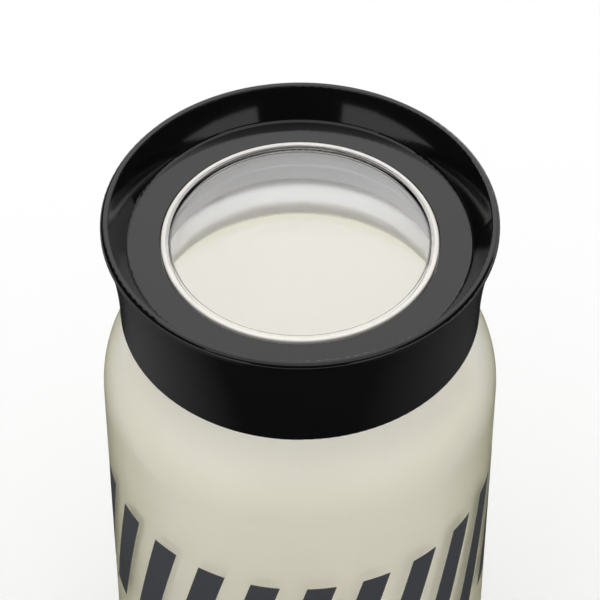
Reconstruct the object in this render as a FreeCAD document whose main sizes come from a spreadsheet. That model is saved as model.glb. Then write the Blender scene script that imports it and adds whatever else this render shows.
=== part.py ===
import FreeCAD, Part
import math
import os
import Sketcher

# Glass storage jar with a screw lid that has a clear window, in millimetres.
# +Z is up, and the origin is the middle of the foot that the jar stands on.

doc = FreeCAD.newDocument("window_lid_jar")

sizes = {
    # Glass vessel
    "glass_height": 190.7,
    "body_diameter": 108.0,
    "glass_wall": 3.4,
    "floor_height": 6.5,
    "floor_radius": 7.0,
    "heel_radius": 8.0,
    "foot_width": 5.0,
    "punt_slope": 3.0,
    "punt_depth": 1.6,
    "shoulder_radius": 31.3,
    "shoulder_gap": 3.3,
    "neck_diameter": 85.4,
    "neck_fillet": 4.0,
    "mouth_round": 1.2,
    # Screw thread, the same ridge on the glass neck and inside the liner
    "thread_starts": 3,
    "thread_lead": 18.0,
    "thread_sweep": 144.0,
    "thread_depth": 1.2,
    "thread_flank": 0.8,
    "thread_flank_gap": 0.45,
    "thread_drop": 4.2,
    "thread_clearance": 0.4,
    "thread_bite": 0.5,
    # Seal between the glass mouth and the liner
    "seal_thickness": 1.7,
    "seal_width": 4.0,
    "seal_round": 0.5,
    "seal_gap": 0.1,
    "seal_side_gap": 0.3,
    # Inner lid: flange, screw skirt and plug
    "flange_thickness": 2.6,
    "liner_wall": 1.5,
    "liner_lead_in": 0.3,
    "plug_clearance": 0.5,
    "plug_wall": 1.4,
    "plug_length": 10.7,
    "plug_lead_in": 0.6,
    "plug_bead": 0.5,
    "plug_bead_face": 0.6,
    "plug_bead_up": 4.6,
    # Window
    "hole_inset": 0.4,
    "window_gap": 0.5,
    "window_flange": 3.1,
    "window_flange_thickness": 1.2,
    "window_fit": 0.2,
    "window_rise": 0.6,
    "window_bevel": 0.25,
    "window_skirt": 1.5,
    "window_ring": 1.85,
    "pane_step": 0.7,
    "pane_slope": 0.5,
    "pane_thickness": 2.2,
    # Outer lid
    "lid_height": 33.05,
    "skirt_wall": 2.3,
    "skirt_edge": 0.4,
    "rim_flare": 3.95,
    "rim_bead": 0.6,
    "rim_face": 0.6,
    "rim_round": 1.2,
    "rim_flat": 0.55,
    "rim_edge": 0.4,
    "recess_depth": 8.55,
    "recess_bend": 62.0,
    "recess_bend_drop": 34.6,
    "recess_fillet": 1.0,
    "plate_thickness": 2.0,
    "cover_fit": 0.1,
}


def write_sheet():
    sheet = doc.addObject("Spreadsheet::Sheet", "Dims")
    for row, (name, value) in enumerate(sizes.items(), start=1):
        sheet.set(f"A{row}", name)
        sheet.set(f"B{row}", str(value))
        sheet.setAlias(f"B{row}", name)
    doc.recompute()
    return sheet


sheet = write_sheet()

# Radii that the pieces share, outwards from the jar's axis
neck_r = "(Dims.neck_diameter / 2)"
bore_r = f"({neck_r} - Dims.glass_wall)"
crest_r = f"({neck_r} + Dims.thread_depth)"
plug_r = f"({bore_r} - Dims.plug_clearance)"
plug_bore_r = f"({plug_r} - Dims.plug_wall)"
liner_bore_r = f"({crest_r} + Dims.thread_clearance)"
liner_r = f"({liner_bore_r} + Dims.liner_wall)"
cover_bore_r = f"({liner_r} + Dims.cover_fit)"
hole_r = f"({plug_bore_r} - Dims.hole_inset)"
window_r = f"({hole_r} - Dims.window_gap)"
window_flange_r = f"({window_r} + Dims.window_flange)"
rebate_r = f"({window_flange_r} + Dims.window_fit)"

# Heights that the pieces share, upwards from the glass mouth
mouth_z = "Dims.glass_height"
seal_z = f"({mouth_z} + Dims.seal_gap)"
seal_top_z = f"({seal_z} + Dims.seal_thickness)"
flange_z = f"({seal_top_z} + Dims.seal_gap)"
plate_under_z = f"({flange_z} + Dims.flange_thickness)"
rebate_z = f"({plate_under_z} - Dims.window_flange_thickness)"
plate_z = f"({plate_under_z} + Dims.plate_thickness)"
rim_z = f"({plate_z} + Dims.recess_depth)"
skirt_z = f"({rim_z} - Dims.lid_height)"

# Ridges on the neck and in the liner run half a pitch apart on the same helix, with a gap at their flanks
half_pitch = "(Dims.thread_lead / Dims.thread_starts / 2)"
shared_flank = "(Dims.thread_flank * (1 - Dims.thread_clearance / Dims.thread_depth))"
half_crest = f"(({half_pitch} - Dims.thread_flank_gap - {shared_flank}) / 2)"
half_root = f"({half_crest} + Dims.thread_flank)"
thread_rise = "(Dims.thread_lead * Dims.thread_sweep / 360)"
neck_thread_z = f"({mouth_z} - Dims.thread_drop - {thread_rise})"
liner_thread_z = f"({neck_thread_z} - {half_pitch})"


def number(expression):
    return float(sheet.evalExpression(expression.replace("Dims.", "")))


def line(r, z):
    return {"r": r, "z": z}


def arc(r, z, radius, turn):
    return {"r": r, "z": z, "radius": radius, "turn": turn}


def arc_centre(start, end, radius, turn):
    # turn is 1 when the outline bends to the left on its way from start to end, and -1 to the right
    chord = end - start
    across = FreeCAD.Vector(-chord.y, chord.x, 0).normalize()
    reach = math.sqrt(max(radius**2 - (chord.Length / 2) ** 2, 0))
    return (start + end) / 2 + across * reach * turn


def add_edge(sketch, start, end, step):
    # Returns the edge's number with the point numbers of its first and last corner
    if "radius" not in step:
        return sketch.addGeometry(Part.LineSegment(start, end), False), 1, 2
    radius = number(step["radius"])
    centre = arc_centre(start, end, radius, step["turn"])
    first, last = (start, end) if step["turn"] > 0 else (end, start)
    angles = [math.atan2(p.y - centre.y, p.x - centre.x) for p in (first, last)]
    circle = Part.Circle(centre, FreeCAD.Vector(0, 0, 1), radius)
    index = sketch.addGeometry(Part.ArcOfCircle(circle, *angles), False)
    return (index, 1, 2) if step["turn"] > 0 else (index, 2, 1)


def bind(sketch, kind, entries, expression, label):
    index = sketch.addConstraint(Sketcher.Constraint(kind, *entries, number(expression)))
    sketch.renameConstraint(index, label)
    sketch.setExpression(f"Constraints.{label}", expression)


def place_corner(sketch, edge, point, step, label):
    if step["r"] == "0":
        sketch.addConstraint(Sketcher.Constraint("PointOnObject", edge, point, -2))
    else:
        bind(sketch, "DistanceX", (-1, 1, edge, point), step["r"], f"{label}_out")
    if step["z"] == "0":
        sketch.addConstraint(Sketcher.Constraint("PointOnObject", edge, point, -1))
    else:
        bind(sketch, "DistanceY", (-1, 1, edge, point), step["z"], f"{label}_up")


def half_section(body, name, steps):
    # A closed outline in the XZ plane: each step is the line or arc that leads to its own corner
    sketch = body.newObject("Sketcher::SketchObject", name)
    plane = [f for f in body.Origin.OriginFeatures if f.Role == "XZ_Plane"][0]
    sketch.AttachmentSupport = [(plane, "")]
    sketch.MapMode = "FlatFace"
    corners = [FreeCAD.Vector(number(s["r"]), number(s["z"]), 0) for s in steps]
    edges = [add_edge(sketch, corners[i - 1], corners[i], step) for i, step in enumerate(steps)]
    for i, (edge, first, last) in enumerate(edges):
        before, _, before_last = edges[i - 1]
        sketch.addConstraint(Sketcher.Constraint("Coincident", before, before_last, edge, first))
        place_corner(sketch, edge, last, steps[i], f"corner_{i}")
        if "radius" in steps[i]:
            bind(sketch, "Radius", (edge,), steps[i]["radius"], f"arc_{i}")
    return sketch


def revolve(name, steps):
    body = doc.addObject("PartDesign::Body", name)
    body.Label = name
    sketch = half_section(body, f"{name}_section", steps)
    turned = body.newObject("PartDesign::Revolution", f"{name}_turned")
    turned.Profile = sketch
    turned.ReferenceAxis = (sketch, ["V_Axis"])
    turned.Angle = 360
    sketch.Visibility = False
    doc.recompute()
    return body


def add_thread(body, name, wall_r, crest, middle_z, outwards):
    # Sweeps one ridge along the helix and repeats it for the other starts
    before = body.Shape.Volume
    sunk_r = f"({wall_r} - Dims.thread_bite)" if outwards else f"({wall_r} + Dims.thread_bite)"
    sketch = half_section(body, f"{name}_section", [
        line(sunk_r, f"{middle_z} - {half_root}"),
        line(wall_r, f"{middle_z} - {half_root}"),
        line(crest, f"{middle_z} - {half_crest}"),
        line(crest, f"{middle_z} + {half_crest}"),
        line(wall_r, f"{middle_z} + {half_root}"),
        line(sunk_r, f"{middle_z} + {half_root}"),
    ])
    ridge = body.newObject("PartDesign::AdditiveHelix", f"{name}_ridge")
    ridge.Profile = sketch
    ridge.ReferenceAxis = (sketch, ["V_Axis"])
    ridge.Mode = "pitch-height-angle"
    ridge.setExpression("Pitch", "Dims.thread_lead")
    ridge.setExpression("Height", thread_rise)
    ridge.Angle = 0
    ridge.LeftHanded = False
    ridge.Reversed = False
    sketch.Visibility = False
    doc.recompute()
    starts = body.newObject("PartDesign::PolarPattern", f"{name}_starts")
    starts.Originals = [ridge]
    starts.Axis = (sketch, ["V_Axis"])
    starts.Angle = 360
    starts.setExpression("Occurrences", "Dims.thread_starts")
    body.Tip = starts
    doc.recompute()
    if body.Shape.Volume <= before:
        raise RuntimeError(f"{name} added no ridge")


def shoulder_steps():
    # The neck starts just below the lid's foot. Outer and inner shoulder share their centres, so the
    # glass keeps one wall thickness round the bends
    centre_r = "(Dims.body_diameter / 2 - Dims.shoulder_radius)"
    fillet_r = f"({neck_r} + Dims.neck_fillet)"
    reach = "(Dims.shoulder_radius + Dims.neck_fillet)"
    rise = f"sqrt({reach}^2 - ({fillet_r} - {centre_r})^2)"
    neck_start_z = f"({skirt_z} - Dims.shoulder_gap)"
    shoulder_z = f"({neck_start_z} - {rise})"

    def meet(radius):
        r = f"{centre_r} + ({fillet_r} - {centre_r}) * {radius} / {reach}"
        z = f"{shoulder_z} + {rise} * {radius} / {reach}"
        return r, z

    inner_radius = "(Dims.shoulder_radius - Dims.glass_wall)"
    wide_fillet = "(Dims.neck_fillet + Dims.glass_wall)"
    bore_body_r = "(Dims.body_diameter / 2 - Dims.glass_wall)"
    outer = [
        line("Dims.body_diameter / 2", shoulder_z),
        arc(*meet("Dims.shoulder_radius"), "Dims.shoulder_radius", 1),
        arc(neck_r, neck_start_z, "Dims.neck_fillet", -1),
    ]
    inner = [
        line(bore_r, neck_start_z),
        arc(*meet(inner_radius), wide_fillet, 1),
        arc(bore_body_r, shoulder_z, inner_radius, -1),
    ]
    return outer, inner, bore_body_r


def make_glass_jar():
    outer_shoulder, inner_shoulder, wall_bore_r = shoulder_steps()
    foot_r = "(Dims.body_diameter / 2 - Dims.heel_radius)"
    punt_r = f"({foot_r} - Dims.foot_width)"
    body = revolve("glass_jar", [
        line("0", "Dims.punt_depth"),
        line(f"{punt_r} - Dims.punt_slope", "Dims.punt_depth"),
        line(punt_r, "0"),
        line(foot_r, "0"),
        arc("Dims.body_diameter / 2", "Dims.heel_radius", "Dims.heel_radius", 1),
        *outer_shoulder,
        line(neck_r, f"{mouth_z} - Dims.mouth_round"),
        arc(f"{neck_r} - Dims.mouth_round", mouth_z, "Dims.mouth_round", 1),
        line(f"{bore_r} + Dims.mouth_round", mouth_z),
        arc(bore_r, f"{mouth_z} - Dims.mouth_round", "Dims.mouth_round", 1),
        *inner_shoulder,
        line(wall_bore_r, "Dims.floor_height + Dims.floor_radius"),
        arc(f"{wall_bore_r} - Dims.floor_radius", "Dims.floor_height", "Dims.floor_radius", -1),
        line("0", "Dims.floor_height"),
    ])
    add_thread(body, "neck_thread", neck_r, crest_r, neck_thread_z, True)
    return body


def make_seal_ring():
    inner_r = f"({plug_r} + Dims.seal_side_gap)"
    outer_r = f"({inner_r} + Dims.seal_width)"
    soft = "Dims.seal_round"
    return revolve("seal_ring", [
        arc(f"{inner_r} + {soft}", seal_z, soft, 1),
        line(f"{outer_r} - {soft}", seal_z),
        arc(outer_r, f"{seal_z} + {soft}", soft, 1),
        line(outer_r, f"{seal_top_z} - {soft}"),
        arc(f"{outer_r} - {soft}", seal_top_z, soft, 1),
        line(f"{inner_r} + {soft}", seal_top_z),
        arc(inner_r, f"{seal_top_z} - {soft}", soft, 1),
        line(inner_r, f"{seal_z} + {soft}"),
    ])


def make_screw_liner():
    plug_end_z = f"({flange_z} - Dims.plug_length)"
    liner_end_z = f"({liner_thread_z} - {half_root} - Dims.liner_lead_in)"
    # A bead stiffens the plug and shows through the window as a bright line
    bead_r = f"({plug_bore_r} - Dims.plug_bead)"
    bead_z = f"({plug_end_z} + Dims.plug_bead_up)"
    bead_top_z = f"({bead_z} + Dims.plug_bead_face)"
    body = revolve("screw_liner", [
        line(plug_bore_r, plug_end_z),
        line(f"{plug_r} - Dims.plug_lead_in", plug_end_z),
        line(plug_r, f"{plug_end_z} + Dims.plug_lead_in"),
        line(plug_r, flange_z),
        line(liner_bore_r, flange_z),
        line(liner_bore_r, liner_end_z),
        line(liner_r, liner_end_z),
        line(liner_r, plate_under_z),
        line(rebate_r, plate_under_z),
        line(rebate_r, rebate_z),
        line(plug_bore_r, rebate_z),
        line(plug_bore_r, f"{bead_top_z} + Dims.plug_bead"),
        line(bead_r, bead_top_z),
        line(bead_r, bead_z),
        line(plug_bore_r, f"{bead_z} - Dims.plug_bead"),
    ])
    crest = f"({neck_r} + Dims.thread_clearance)"
    add_thread(body, "liner_thread", liner_bore_r, crest, liner_thread_z, False)
    return body


def make_lid_window():
    top_z = f"({plate_z} + Dims.window_rise)"
    pane_z = f"({top_z} - Dims.pane_step)"
    under_z = f"({pane_z} - Dims.pane_thickness)"
    ring_r = f"({window_r} - Dims.window_bevel)"
    step_r = f"({ring_r} - Dims.window_ring)"
    under_r = f"({window_r} - Dims.window_skirt)"
    return revolve("lid_window", [
        line("0", under_z),
        line(under_r, under_z),
        line(under_r, rebate_z),
        line(window_flange_r, rebate_z),
        line(window_flange_r, plate_under_z),
        line(window_r, plate_under_z),
        line(window_r, f"{top_z} - Dims.window_bevel"),
        line(ring_r, top_z),
        line(step_r, top_z),
        line(f"{step_r} - Dims.pane_slope", pane_z),
        line("0", pane_z),
    ])


def make_lid_cover():
    skirt_r = f"({cover_bore_r} + Dims.skirt_wall)"
    rim_r = f"({skirt_r} + Dims.rim_flare)"
    lip_r = f"({rim_r} - Dims.rim_round - Dims.rim_flat - Dims.rim_edge)"
    flare_r = f"({rim_r} - Dims.rim_bead)"
    face_z = f"({rim_z} - Dims.rim_round - Dims.rim_face)"
    flare_z = f"({face_z} - Dims.rim_bead)"
    # The flare leaves the skirt's foot straight up and bends out to the bead under the rim
    flare_start_z = f"({skirt_z} + Dims.skirt_edge)"
    flare_rise = f"({flare_z} - {flare_start_z})"
    flare_out = f"({flare_r} - {skirt_r})"
    flare_radius = f"({flare_rise}^2 + {flare_out}^2) / (2 * {flare_out})"
    # The recess wall bends out like the flare, and the fillet at its foot touches wall and plate smoothly
    lip_z = f"({rim_z} - Dims.rim_edge)"
    bend_r = f"({lip_r} + sqrt(Dims.recess_bend^2 - Dims.recess_bend_drop^2))"
    bend_z = f"({lip_z} - Dims.recess_bend_drop)"
    fillet_z = f"({plate_z} + Dims.recess_fillet)"
    reach = "(Dims.recess_bend + Dims.recess_fillet)"
    fillet_r = f"({bend_r} - sqrt({reach}^2 - ({fillet_z} - {bend_z})^2))"
    foot_r = f"({fillet_r} + ({bend_r} - {fillet_r}) * Dims.recess_fillet / {reach})"
    foot_z = f"({fillet_z} + ({bend_z} - {fillet_z}) * Dims.recess_fillet / {reach})"
    return revolve("lid_cover", [
        line(cover_bore_r, skirt_z),
        line(f"{skirt_r} - Dims.skirt_edge", skirt_z),
        arc(skirt_r, flare_start_z, "Dims.skirt_edge", 1),
        arc(flare_r, flare_z, flare_radius, -1),
        line(rim_r, face_z),
        line(rim_r, f"{rim_z} - Dims.rim_round"),
        arc(f"{rim_r} - Dims.rim_round", rim_z, "Dims.rim_round", 1),
        line(f"{lip_r} + Dims.rim_edge", rim_z),
        arc(lip_r, lip_z, "Dims.rim_edge", 1),
        arc(foot_r, foot_z, "Dims.recess_bend", 1),
        arc(fillet_r, plate_z, "Dims.recess_fillet", -1),
        line(hole_r, plate_z),
        line(hole_r, plate_under_z),
        line(cover_bore_r, plate_under_z),
    ])


pieces = [make_glass_jar(), make_seal_ring(), make_screw_liner(), make_lid_window(), make_lid_cover()]
doc.recompute()

for thing in doc.Objects:
    if "Invalid" in thing.State or "Error" in thing.State:
        raise RuntimeError(f"{thing.Label} failed: {thing.State}")

for piece in pieces:
    shape = piece.Shape
    if shape.isNull() or not shape.isValid() or len(shape.Solids) != 1:
        raise RuntimeError(f"{piece.Label} is not one sound solid")

os.makedirs("parts", exist_ok=True)
for piece in pieces:
    box = piece.Shape.optimalBoundingBox(False, False)
    piece.Shape.exportStep(f"parts/{piece.Label}.step")
    print(f"{piece.Label}: {piece.Shape.Volume / 1000:.1f} cm3, z {box.ZMin:.2f} to {box.ZMax:.2f}")
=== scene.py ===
import math

import bpy
from mathutils import Matrix, Vector


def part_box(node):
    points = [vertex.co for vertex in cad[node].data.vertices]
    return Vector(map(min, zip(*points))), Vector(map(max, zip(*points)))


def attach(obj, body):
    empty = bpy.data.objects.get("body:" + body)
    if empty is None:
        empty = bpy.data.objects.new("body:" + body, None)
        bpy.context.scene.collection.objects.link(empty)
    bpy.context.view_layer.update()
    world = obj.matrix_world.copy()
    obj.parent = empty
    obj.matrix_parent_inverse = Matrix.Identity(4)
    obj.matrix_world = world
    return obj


# A frosted glass storage jar with a black screw lid and a clear window, shot in a white studio
# Lengths are in metres, angles in degrees
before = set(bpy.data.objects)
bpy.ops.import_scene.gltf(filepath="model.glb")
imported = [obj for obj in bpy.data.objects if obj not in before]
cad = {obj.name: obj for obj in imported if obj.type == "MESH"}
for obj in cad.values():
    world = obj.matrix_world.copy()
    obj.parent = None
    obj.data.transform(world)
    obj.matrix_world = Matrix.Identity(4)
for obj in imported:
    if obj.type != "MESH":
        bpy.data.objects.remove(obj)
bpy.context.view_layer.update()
print("frame:", ", ".join(sorted(cad)))


def clearSelection():
    bpy.ops.object.select_all(action="DESELECT")


def pick(*things):
    clearSelection()
    for thing in things:
        thing.select_set(True)
    bpy.context.view_layer.objects.active = things[0]


def applyAll(thing):
    pick(thing)
    for modifier in list(thing.modifiers):
        bpy.ops.object.modifier_apply(modifier=modifier.name)
    bpy.ops.object.transform_apply(location=True, rotation=True, scale=True)


def dress(thing, material):
    thing.data.materials.clear()
    thing.data.materials.append(material)


# Material helpers: each finish starts as a Principled shader with Object coordinates
noiseSpan = (0.3, 0.7)      # noise seldom leaves these values


def newFinish(name):
    finish = bpy.data.materials.new(name)
    finish.use_nodes = True
    tree = finish.node_tree
    coords = addNode(tree, "TexCoord")
    return finish, tree, tree.nodes["Principled BSDF"], coords.outputs["Object"]


def grey(shade):
    return (shade,) * 3


def feed(tree, node, sources):
    # An input takes another node's result, or else a fixed number, place or colour
    for name, source in sources.items():
        socket = node.inputs[name]
        if isinstance(source, bpy.types.NodeSocket):
            tree.links.new(source, socket)
        elif socket.type == "RGBA":
            socket.default_value = (*source, 1)
        else:
            socket.default_value = source


def addNode(tree, kind, sources=None, **options):
    node = tree.nodes.new("ShaderNode" + kind)
    for name, value in options.items():
        setattr(node, name, value)
    feed(tree, node, sources or {})
    return node


def addNoise(tree, where, pattern):
    return addNode(tree, "TexNoise", {"Vector": where, **pattern}).outputs["Fac"]


def addRange(tree, value, wanted, given=noiseSpan):
    span = addNode(tree, "MapRange", {
        "Value": value,
        "From Min": given[0],
        "From Max": given[1],
        "To Min": wanted[0],
        "To Max": wanted[1],
    })
    return span.outputs["Result"]


def addBlend(tree, factor, first, second, kind="RGBA", method="MIX"):
    sources = {"Factor": factor, "A": first, "B": second}
    blend = addNode(tree, "Mix", sources, data_type=kind, blend_type=method)
    return blend.outputs["Result"]


def addRamp(tree, value, places, colours):
    ramp = addNode(tree, "ValToRGB", {"Fac": value})
    stops = ramp.color_ramp.elements
    while len(stops) < len(places):
        stops.new(1.0)
    for stop, place, colour in zip(stops, places, colours):
        stop.position = place
        stop.color = (*colour, 1)
    return ramp.outputs["Color"]


def addBump(tree, shader, height, bump):
    bumps = addNode(tree, "Bump", {"Height": height, **bump})
    feed(tree, shader, {"Normal": bumps.outputs["Normal"]})


def letLampsThrough(tree, shader, tint):
    # Shadow rays pass straight through, so that lamps light what is behind the glass
    path = addNode(tree, "LightPath")
    clear = addNode(tree, "BsdfTransparent", {"Color": tint})
    mixed = addNode(tree, "MixShader", {
        0: path.outputs["Is Shadow Ray"],
        1: shader.outputs["BSDF"],
        2: clear.outputs["BSDF"],
    })
    feed(tree, tree.nodes["Material Output"], {"Surface": mixed.outputs["Shader"]})


def flatten(tree, where):
    # The place without its height
    flat = addNode(tree, "VectorMath", {0: where, 1: (1, 1, 0)}, operation="MULTIPLY")
    return flat.outputs["Vector"]


def facingIn(tree, where):
    # 1 on faces that look towards the jar's axis, 0 on those that look out
    surface = addNode(tree, "NewGeometry")
    side = addRange(tree, surface.outputs["Backfacing"], (1, -1), (0, 1))
    sources = {0: flatten(tree, where), 1: surface.outputs["Normal"]}
    dot = addNode(tree, "VectorMath", sources, operation="DOT_PRODUCT")
    signed = addNode(tree, "Math", {0: dot.outputs["Value"], 1: side}, operation="MULTIPLY")
    inner = addNode(tree, "Math", {0: signed.outputs["Value"], 1: 0}, operation="LESS_THAN")
    return inner.outputs["Value"]


# Frosted glass: satin outside, smoother inside apart from the neck
frost = {
    "tint": (0.995, 0.975, 0.895),
    "tintDeep": (0.985, 0.96, 0.87),
    "tintNeck": (0.995, 0.995, 0.99),
    "tintEdge": (1.0, 0.955, 0.58),
    "edge": (0.55, 0.98),       # from the first sign of the edge's tint to all of it
    "neck": (0.152, 0.174),     # heights between which the body's look becomes the neck's
    "refraction": 1.5,
    "satin": 0.28,
    "etch": (0.06, 0.1),
    "etchNeck": 0.4,
    "clarity": 0.84,
    "lampTint": (0.98, 0.97, 0.95),
    "cloud": {"Scale": 26.0, "Detail": 3.0},
    "sand": {"Scale": 1800.0, "Detail": 2.0},
    "sandBump": {"Strength": 0.15, "Distance": 0.00002},
}


def frostedGlass():
    finish, tree, shader, where = newFinish("frostedGlass")
    cloud = addNoise(tree, where, frost["cloud"])
    height = addNode(tree, "SeparateXYZ", {"Vector": where}).outputs["Z"]
    neck = addRange(tree, height, (0, 1), frost["neck"])
    clouded = addBlend(tree, cloud, frost["tint"], frost["tintDeep"])
    tint = addBlend(tree, neck, clouded, frost["tintNeck"])
    # Glass seen edge on is a deeper yellow
    grazing = addNode(tree, "LayerWeight").outputs["Facing"]
    edge = addRange(tree, grazing, (0, 1), frost["edge"])
    etched = addRange(tree, cloud, frost["etch"])
    inside = addBlend(tree, neck, etched, frost["etchNeck"], "FLOAT")
    feed(tree, shader, {
        "Base Color": addBlend(tree, edge, tint, frost["tintEdge"]),
        "Roughness": addBlend(tree, facingIn(tree, where), frost["satin"], inside, "FLOAT"),
        "Transmission Weight": frost["clarity"],
        "IOR": frost["refraction"],
    })
    addBump(tree, shader, addNoise(tree, where, frost["sand"]), frost["sandBump"])
    letLampsThrough(tree, shader, frost["lampTint"])
    return finish


# Glossy black moulding of the outer lid
blackLid = {
    "black": (0.0022, 0.0022, 0.0024),
    "worn": (0.0035, 0.0035, 0.0038),
    "gloss": (0.07, 0.11),
    "refraction": 1.5,
    "cloud": {"Scale": 45.0, "Detail": 4.0},
    "peel": {"Scale": 420.0, "Detail": 2.0},
    "peelBump": {"Strength": 0.06, "Distance": 0.00002},
}


def blackPlastic():
    finish, tree, shader, where = newFinish("blackPlastic")
    cloud = addNoise(tree, where, blackLid["cloud"])
    feed(tree, shader, {
        "Base Color": addBlend(tree, cloud, blackLid["black"], blackLid["worn"]),
        "Roughness": addRange(tree, cloud, blackLid["gloss"]),
        "IOR": blackLid["refraction"],
    })
    addBump(tree, shader, addNoise(tree, where, blackLid["peel"]), blackLid["peelBump"])
    return finish


# Clear window, with faint handling haze and a moulded edge whose light and shade are painted by
# radius in the tint and clarity ramp below
window = {
    "clear": (0.985, 0.985, 0.99),
    "hazed": (0.965, 0.965, 0.97),
    "polish": (0.0, 0.03),
    "refraction": 1.49,
    "haze": {"Scale": 60.0, "Detail": 3.0},
    "rimSpan": (0.034, 0.037),      # radii that hold the whole rim
    # Radius, tint and clarity from the step round the pane out to the flange: the thin dark line at
    # the step is painted shade, the pale cream band of low clarity is painted glow standing in for
    # light caught by the bevel, and the near-black band at the flange is a painted shadow of the gap
    "rim": [
        (0.03423, (1.0, 1.0, 1.0), 1.0),
        (0.03429, (0.08, 0.08, 0.09), 1.0),
        (0.03453, (0.08, 0.08, 0.09), 1.0),
        (0.03459, (1.0, 1.0, 1.0), 0.9),
        (0.0351, (1.0, 0.98, 0.96), 0.75),
        (0.0355, (0.98, 0.945, 0.89), 0.32),
        (0.03652, (0.98, 0.945, 0.89), 0.3),
        (0.03658, (0.01, 0.01, 0.01), 0.0),
    ],
}


def clearPlastic():
    finish, tree, shader, where = newFinish("clearPlastic")
    haze = addNoise(tree, where, window["haze"])
    pane = addBlend(tree, haze, window["clear"], window["hazed"])
    radius = addNode(tree, "VectorMath", {0: flatten(tree, where)}, operation="LENGTH")
    across = addRange(tree, radius.outputs["Value"], (0, 1), window["rimSpan"])
    radii, paintedRimTints, clarities = zip(*window["rim"])
    start, end = window["rimSpan"]
    places = [(place - start) / (end - start) for place in radii]
    # The rim's tints paint shade at the step, a pale glow on the bevel and the gap's shadow at the
    # flange
    tint = addRamp(tree, across, places, paintedRimTints)
    feed(tree, shader, {
        "Base Color": addBlend(tree, 1, pane, tint, method="MULTIPLY"),
        "Roughness": addRange(tree, haze, window["polish"]),
        "Transmission Weight": addRamp(tree, across, places, map(grey, clarities)),
        "IOR": window["refraction"],
    })
    letLampsThrough(tree, shader, window["clear"])
    return finish


# Cloudy plastic of the screw liner
liner = {
    "milk": (0.93, 0.93, 0.96),
    "milkDeep": (0.9, 0.9, 0.94),
    "sheen": (0.12, 0.2),
    "clarity": 0.35,
    "refraction": 1.49,
    "lampTint": (0.6, 0.6, 0.62),
    "flow": {"Scale": 80.0, "Detail": 3.0},
}


def milkyPlastic():
    finish, tree, shader, where = newFinish("milkyPlastic")
    flow = addNoise(tree, where, liner["flow"])
    feed(tree, shader, {
        "Base Color": addBlend(tree, flow, liner["milk"], liner["milkDeep"]),
        "Roughness": addRange(tree, flow, liner["sheen"]),
        "Transmission Weight": liner["clarity"],
        "IOR": liner["refraction"],
    })
    letLampsThrough(tree, shader, liner["lampTint"])
    return finish


# Silicone of the seal
seal = {
    "pale": (0.84, 0.84, 0.86),
    "grey": (0.76, 0.76, 0.79),
    "matt": (0.5, 0.65),
    "grain": {"Scale": 700.0, "Detail": 2.0},
    "grainBump": {"Strength": 0.2, "Distance": 0.00005},
}


def sealSilicone():
    finish, tree, shader, where = newFinish("sealSilicone")
    grain = addNoise(tree, where, seal["grain"])
    feed(tree, shader, {
        "Base Color": addBlend(tree, grain, seal["pale"], seal["grey"]),
        "Roughness": addRange(tree, grain, seal["matt"]),
    })
    addBump(tree, shader, grain, seal["grainBump"])
    return finish


dress(cad["glass_jar"], frostedGlass())
dress(cad["lid_cover"], blackPlastic())
dress(cad["lid_window"], clearPlastic())
dress(cad["screw_liner"], milkyPlastic())
dress(cad["seal_ring"], sealSilicone())
print("finishes on the CAD pieces done")


# Printed band of plain slanted bars across the front of the glass
bars = {
    "count": 11,
    "spread": 164.0,    # angle of the front that they cover
    "top": 0.1175,
    "height": 0.046,
    "share": 0.52,      # of each bar's pitch that is inked
    "slant": 0.012,     # how far a bar leans over its height
    "film": 0.00004,
    "grid": (8, 4),     # faces across and along a bar
    "smooth": 30,
    "ink": (0.038, 0.041, 0.048),
    "inkThin": (0.055, 0.058, 0.066),
    "matt": (0.38, 0.5),
    "grain": {"Scale": 900.0, "Detail": 2.0},
}


def printInk():
    finish, tree, shader, where = newFinish("printInk")
    grain = addNoise(tree, where, bars["grain"])
    feed(tree, shader, {
        "Base Color": addBlend(tree, grain, bars["ink"], bars["inkThin"]),
        "Roughness": addRange(tree, grain, bars["matt"]),
    })
    return finish


def makeBars():
    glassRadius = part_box("glass_jar")[1].x
    step = math.radians(bars["spread"]) / (bars["count"] - 1)
    across, along = bars["grid"]
    clearSelection()
    bpy.ops.mesh.primitive_grid_add(x_subdivisions=across, y_subdivisions=along, size=1)
    bar = bpy.context.object
    for v in bar.data.vertices:
        turn = v.co.x * step * bars["share"] + v.co.y * bars["slant"] / glassRadius
        height = bars["top"] + (v.co.y - 0.5) * bars["height"]
        v.co = (glassRadius * math.sin(turn), -glassRadius * math.cos(turn), height)
    film = bar.modifiers.new("film", "SOLIDIFY")
    film.thickness = bars["film"]
    film.offset = 1     # outwards
    applyAll(bar)
    copies = []
    for i in range(bars["count"]):
        turn = step * (i - (bars["count"] - 1) / 2)
        copy = bar.copy()
        copy.data = bar.data.copy()
        copy.data.transform(Matrix.Rotation(turn, 4, "Z"))
        bpy.context.collection.objects.link(copy)
        copies.append(copy)
    bpy.data.objects.remove(bar)
    pick(*copies)
    bpy.ops.object.join()
    band = bpy.context.object
    band.name = "print_bars"
    bpy.ops.object.shade_smooth_by_angle(angle=math.radians(bars["smooth"]))
    dress(band, printInk())
    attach(band, "jar")


makeBars()
print("printed bars done")


# Floor, sky and lamps of a plain white studio
studio = {
    "floorSize": 8.0,
    "floorPale": (0.91, 0.91, 0.91),
    "floorDim": (0.89, 0.89, 0.89),
    "floorMatt": 0.8,
    "floorShine": 0.1,
    "floorCloud": {"Scale": 3.0, "Detail": 3.0},
    "sky": (1.0, 1.0, 1.0),
    "aim": (0.0, 0.0, 0.17),    # where the lamps point
}
# Soft boxes, and whether gloss mirrors them
lamps = {
    "back_softbox": {"at": (0.0, 1.05, 1.28), "size": (1.5, 0.9), "glow": 0.62, "mirrored": True},
    "key_softbox": {"at": (-0.5, -0.35, 1.6), "size": (0.9, 0.7), "glow": 1.1, "mirrored": False},
}
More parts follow.
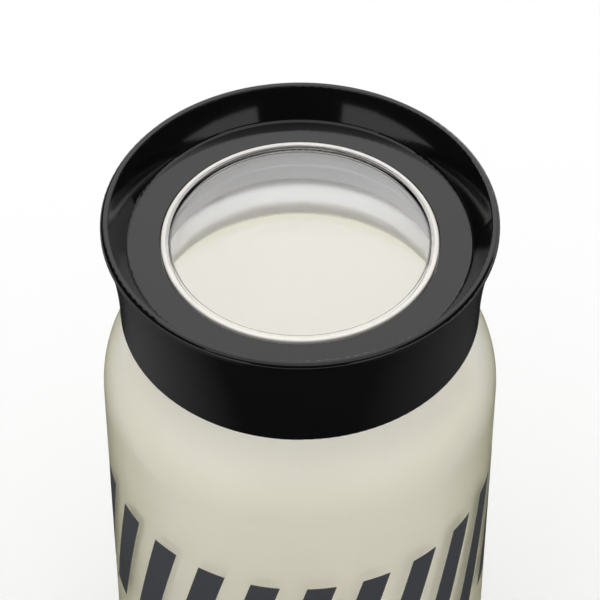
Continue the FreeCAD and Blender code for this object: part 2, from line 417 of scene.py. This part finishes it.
# Cards that show only in mirror-like reflections, with the shades of their left and right sides
cards = {
    "floor_card": {
        "at": (0, 0, 0.0005), "size": (1.0, 1.0), "turn": (0, 0, 0), "sides": (0.25, 0.14),
    },
    "low_card": {
        "at": (0, -1.6, 0.37), "size": (1.44, 0.74), "turn": (90, 0, 0), "sides": (0.02, 0.02),
    },
    "high_card": {
        "at": (0, -1.6, 1.51), "size": (3.5, 1.58), "turn": (90, 2, 0), "sides": (0.02, 0.02),
    },
    "left_card": {
        "at": (-1.6, 0.858, 1.076), "size": (4.442, 2.2), "turn": (90, 19, 90), "sides": (0.02, 0.02),
    },
    "right_card": {
        "at": (1.6, -0.142, 1.34), "size": (2.327, 2.2), "turn": (90, 19, 90), "sides": (0.02, 0.02),
    },
}
# The middle's shade holds out to flat, and each side's starts at edge
cardShade = {"middle": 0.02, "flat": 0.1, "edge": 0.2, "matt": 1.0, "shine": 0.0}


def floorFinish():
    finish, tree, shader, where = newFinish("paleFloor")
    cloud = addNoise(tree, where, studio["floorCloud"])
    feed(tree, shader, {
        "Base Color": addBlend(tree, cloud, studio["floorPale"], studio["floorDim"]),
        "Roughness": studio["floorMatt"],
        "Specular IOR Level": studio["floorShine"],
    })
    return finish


def addLamp(name, lamp):
    at = Vector(lamp["at"])
    turn = (Vector(studio["aim"]) - at).to_track_quat("-Z", "Y").to_euler()
    width, depth = lamp["size"]
    clearSelection()
    bpy.ops.object.light_add(type="AREA", location=at, rotation=turn)
    light = bpy.context.object
    light.name = name
    light.data.shape = "RECTANGLE"
    light.data.size = width
    light.data.size_y = depth
    light.data.energy = lamp["glow"] * math.pi * width * depth
    light.visible_glossy = lamp["mirrored"]


def cardFinish(name, card):
    finish, tree, shader, where = newFinish(name)
    across = addNode(tree, "SeparateXYZ", {"Vector": where}).outputs["X"]
    flat, edge = cardShade["flat"], cardShade["edge"]
    leftShade, rightShade = card["sides"]
    left = addRange(tree, across, (1, 0), (-edge, -flat))
    right = addRange(tree, across, (0, 1), (flat, edge))
    shade = addBlend(tree, left, grey(cardShade["middle"]), grey(leftShade))
    feed(tree, shader, {
        "Base Color": addBlend(tree, right, shade, grey(rightShade)),
        "Roughness": cardShade["matt"],
        "Specular IOR Level": cardShade["shine"],
    })
    return finish


def makeCard(name, card):
    clearSelection()
    turn = [math.radians(angle) for angle in card["turn"]]
    bpy.ops.mesh.primitive_plane_add(size=1, location=card["at"], rotation=turn)
    plane = bpy.context.object
    plane.name = name
    plane.scale = (*card["size"], 1)
    applyAll(plane)
    dress(plane, cardFinish(name, card))
    plane.visible_camera = False
    plane.visible_diffuse = False
    plane.visible_shadow = False
    plane.visible_transmission = False


def makeStudio():
    clearSelection()
    bpy.ops.mesh.primitive_plane_add(size=studio["floorSize"])
    floor = bpy.context.object
    floor.name = "studio_floor"
    dress(floor, floorFinish())
    world = bpy.data.worlds.new("studioSky")
    bpy.context.scene.world = world
    world.use_nodes = True
    feed(world.node_tree, world.node_tree.nodes["Background"], {"Color": studio["sky"]})
    for name, lamp in lamps.items():
        addLamp(name, lamp)
    for name, card in cards.items():
        makeCard(name, card)


makeStudio()
print("studio done")


# Camera above and in front of the jar, close on the lid
shot = {
    "target": (0.0, 0.0, 0.1741),
    "distance": 0.8099,
    "pitch": 47.03,
    "focalPixels": 3020.8,
    "frame": 600,       # width of the picture in pixels
    "sensor": 36.0,     # millimetres
    "clip": (0.05, 50.0),
}


def makeCamera():
    pitch = math.radians(shot["pitch"])
    away = Vector((0, -math.cos(pitch), math.sin(pitch)))
    at = Vector(shot["target"]) + away * shot["distance"]
    clearSelection()
    bpy.ops.object.camera_add(location=at, rotation=(math.pi / 2 - pitch, 0, 0))
    camera = bpy.context.object
    camera.data.sensor_width = shot["sensor"]
    camera.data.lens = shot["focalPixels"] / shot["frame"] * shot["sensor"]
    camera.data.clip_start, camera.data.clip_end = shot["clip"]
    bpy.context.scene.camera = camera


makeCamera()
bpy.context.scene.view_settings.view_transform = "Standard"
print("camera done")
